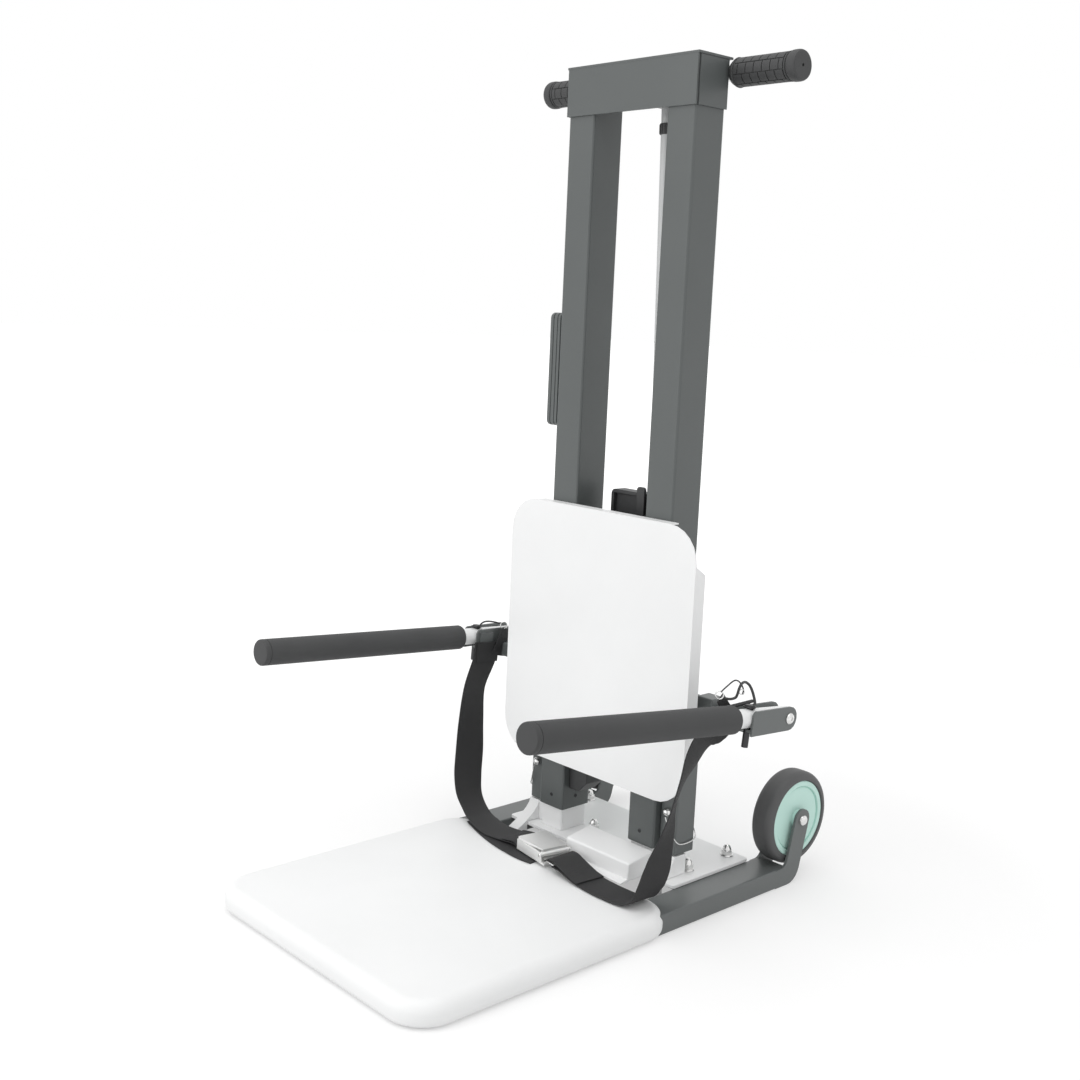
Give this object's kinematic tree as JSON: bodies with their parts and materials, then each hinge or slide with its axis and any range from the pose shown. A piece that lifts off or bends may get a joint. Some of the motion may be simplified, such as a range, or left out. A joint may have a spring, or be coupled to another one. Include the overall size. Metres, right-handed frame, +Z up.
{
  "type": "sit_to_stand_lift",
  "caption": "Sit-to-stand lift with a low white platform, wheeled rails, a telescoping twin-post mast, padded side arms, a back panel and a lap belt.",
  "frame": {"origin": "on the floor under the middle of the box", "axes": "+Z is up, -Y is the side where the user stands on the platform, and +X runs from the left arm to the right arm as the machine is seen from that side"},
  "size_m": [0.5848, 0.7755, 1.1351],
  "materials": {
    "Dark grey paint": "satin powder coat",
    "White paint": "satin powder coat",
    "White tray": "satin powder coat",
    "Black foam": "matte closed-cell foam",
    "Grip rubber": "matte moulded",
    "Grey tyre": "matte solid tyre",
    "Mint plastic": "semi-gloss moulded",
    "Black webbing": "woven",
    "Bright steel": "plated",
    "Brushed steel": "brushed",
    "Blackened steel": "black oxide",
    "Black plastic": "fine texture",
    "Grey conduit": "smooth"
  },
  "bodies": {
    "base": {"platform": "White tray", "rail_right": "Dark grey paint", "rail_left": "Dark grey paint", "base_plate": "White paint", "cross_bar_front": "Dark grey paint", "cross_bar_rear": "Dark grey paint", "dome_nut_1": "Bright steel", "dome_nut_2": "Bright steel", "dome_nut_3": "Bright steel", "dome_nut_4": "Bright steel", "dome_nut_5": "Bright steel", "dome_nut_6": "Bright steel", "inner_post_right": "White paint", "inner_post_left": "White paint", "drive_cover": "White paint", "axle_bolt_right": "Bright steel", "axle_bolt_left": "Bright steel"},
    "lift": {"mast_post_right": "Dark grey paint", "mast_post_left": "Dark grey paint", "crosshead": "Dark grey paint", "handlebar": "Bright steel", "grip_right": "Grip rubber", "grip_left": "Grip rubber", "back_panel": "White paint", "panel_spacer_lower": "Dark grey paint", "panel_spacer_upper": "Dark grey paint", "control_box": "Black plastic", "battery_box": "Black plastic", "supply_box": "Black plastic", "cable_conduit": "Grey conduit", "conduit_gland": "Black plastic", "arm_frame_right": "Dark grey paint", "arm_frame_left": "Dark grey paint", "arm_pivot_bolt_right": "Bright steel", "arm_pivot_bolt_left": "Bright steel", "belt_left": "Black webbing", "belt_right": "Black webbing", "buckle_body": "Bright steel", "buckle_tongue": "Brushed steel"},
    "right_arm": {"arm_tube_right": "White paint", "arm_foam_right": "Black foam"},
    "left_arm": {"arm_tube_left": "White paint", "arm_foam_left": "Black foam"},
    "right_lock_pin": {"arm_lock_pin_right": "Blackened steel"},
    "left_lock_pin": {"arm_lock_pin_left": "Blackened steel"},
    "right_mast_pin": {"mast_pin_right": "Bright steel"},
    "left_mast_pin": {"mast_pin_left": "Bright steel"},
    "right_wheel": {"wheel_tyre_right": "Grey tyre", "wheel_hub_right": "Mint plastic"},
    "left_wheel": {"wheel_tyre_left": "Grey tyre", "wheel_hub_left": "Mint plastic"},
    "lever": {"buckle_lever": "Brushed steel"}
  },
  "joints": [
    {"name": "mast_lift", "type": "slide", "parent": "base", "child": "lift", "axis": [0, 0, 1], "range_m": [0, 0.42]},
    {"name": "arm_right_fold", "type": "hinge", "parent": "lift", "child": "right_arm", "pos_m": [0.272, 0.168, 0.289], "axis": [-1, 0, 0], "range_deg": [0, 80]},
    {"name": "arm_left_fold", "type": "hinge", "parent": "lift", "child": "left_arm", "pos_m": [-0.272, 0.168, 0.289], "axis": [-1, 0, 0], "range_deg": [0, 80]},
    {"name": "lock_pin_right_pull", "type": "slide", "parent": "right_arm", "child": "right_lock_pin", "axis": [0, 0.1149, 0.9934], "range_m": [0, 0.045]},
    {"name": "lock_pin_left_pull", "type": "slide", "parent": "left_arm", "child": "left_lock_pin", "axis": [0, 0.0698, 0.9976], "range_m": [0, 0.045]},
    {"name": "mast_pin_right_pull", "type": "slide", "parent": "lift", "child": "right_mast_pin", "axis": [0, -1, 0], "range_m": [0, 0.046]},
    {"name": "mast_pin_left_pull", "type": "slide", "parent": "lift", "child": "left_mast_pin", "axis": [0, -1, 0], "range_m": [0, 0.046]},
    {"name": "wheel_right_spin", "type": "hinge", "parent": "base", "child": "right_wheel", "pos_m": [0.19, 0.319, 0.0918], "axis": [1, 0, 0], "continuous": true},
    {"name": "wheel_left_spin", "type": "hinge", "parent": "base", "child": "left_wheel", "pos_m": [-0.19, 0.319, 0.0918], "axis": [1, 0, 0], "continuous": true},
    {"name": "buckle_lever_open", "type": "hinge", "parent": "lift", "child": "lever", "pos_m": [0.00972, 0.0224, 0.0488], "axis": [0.1564, 0.9877, 0], "range_deg": [0, 65]}
  ]
}
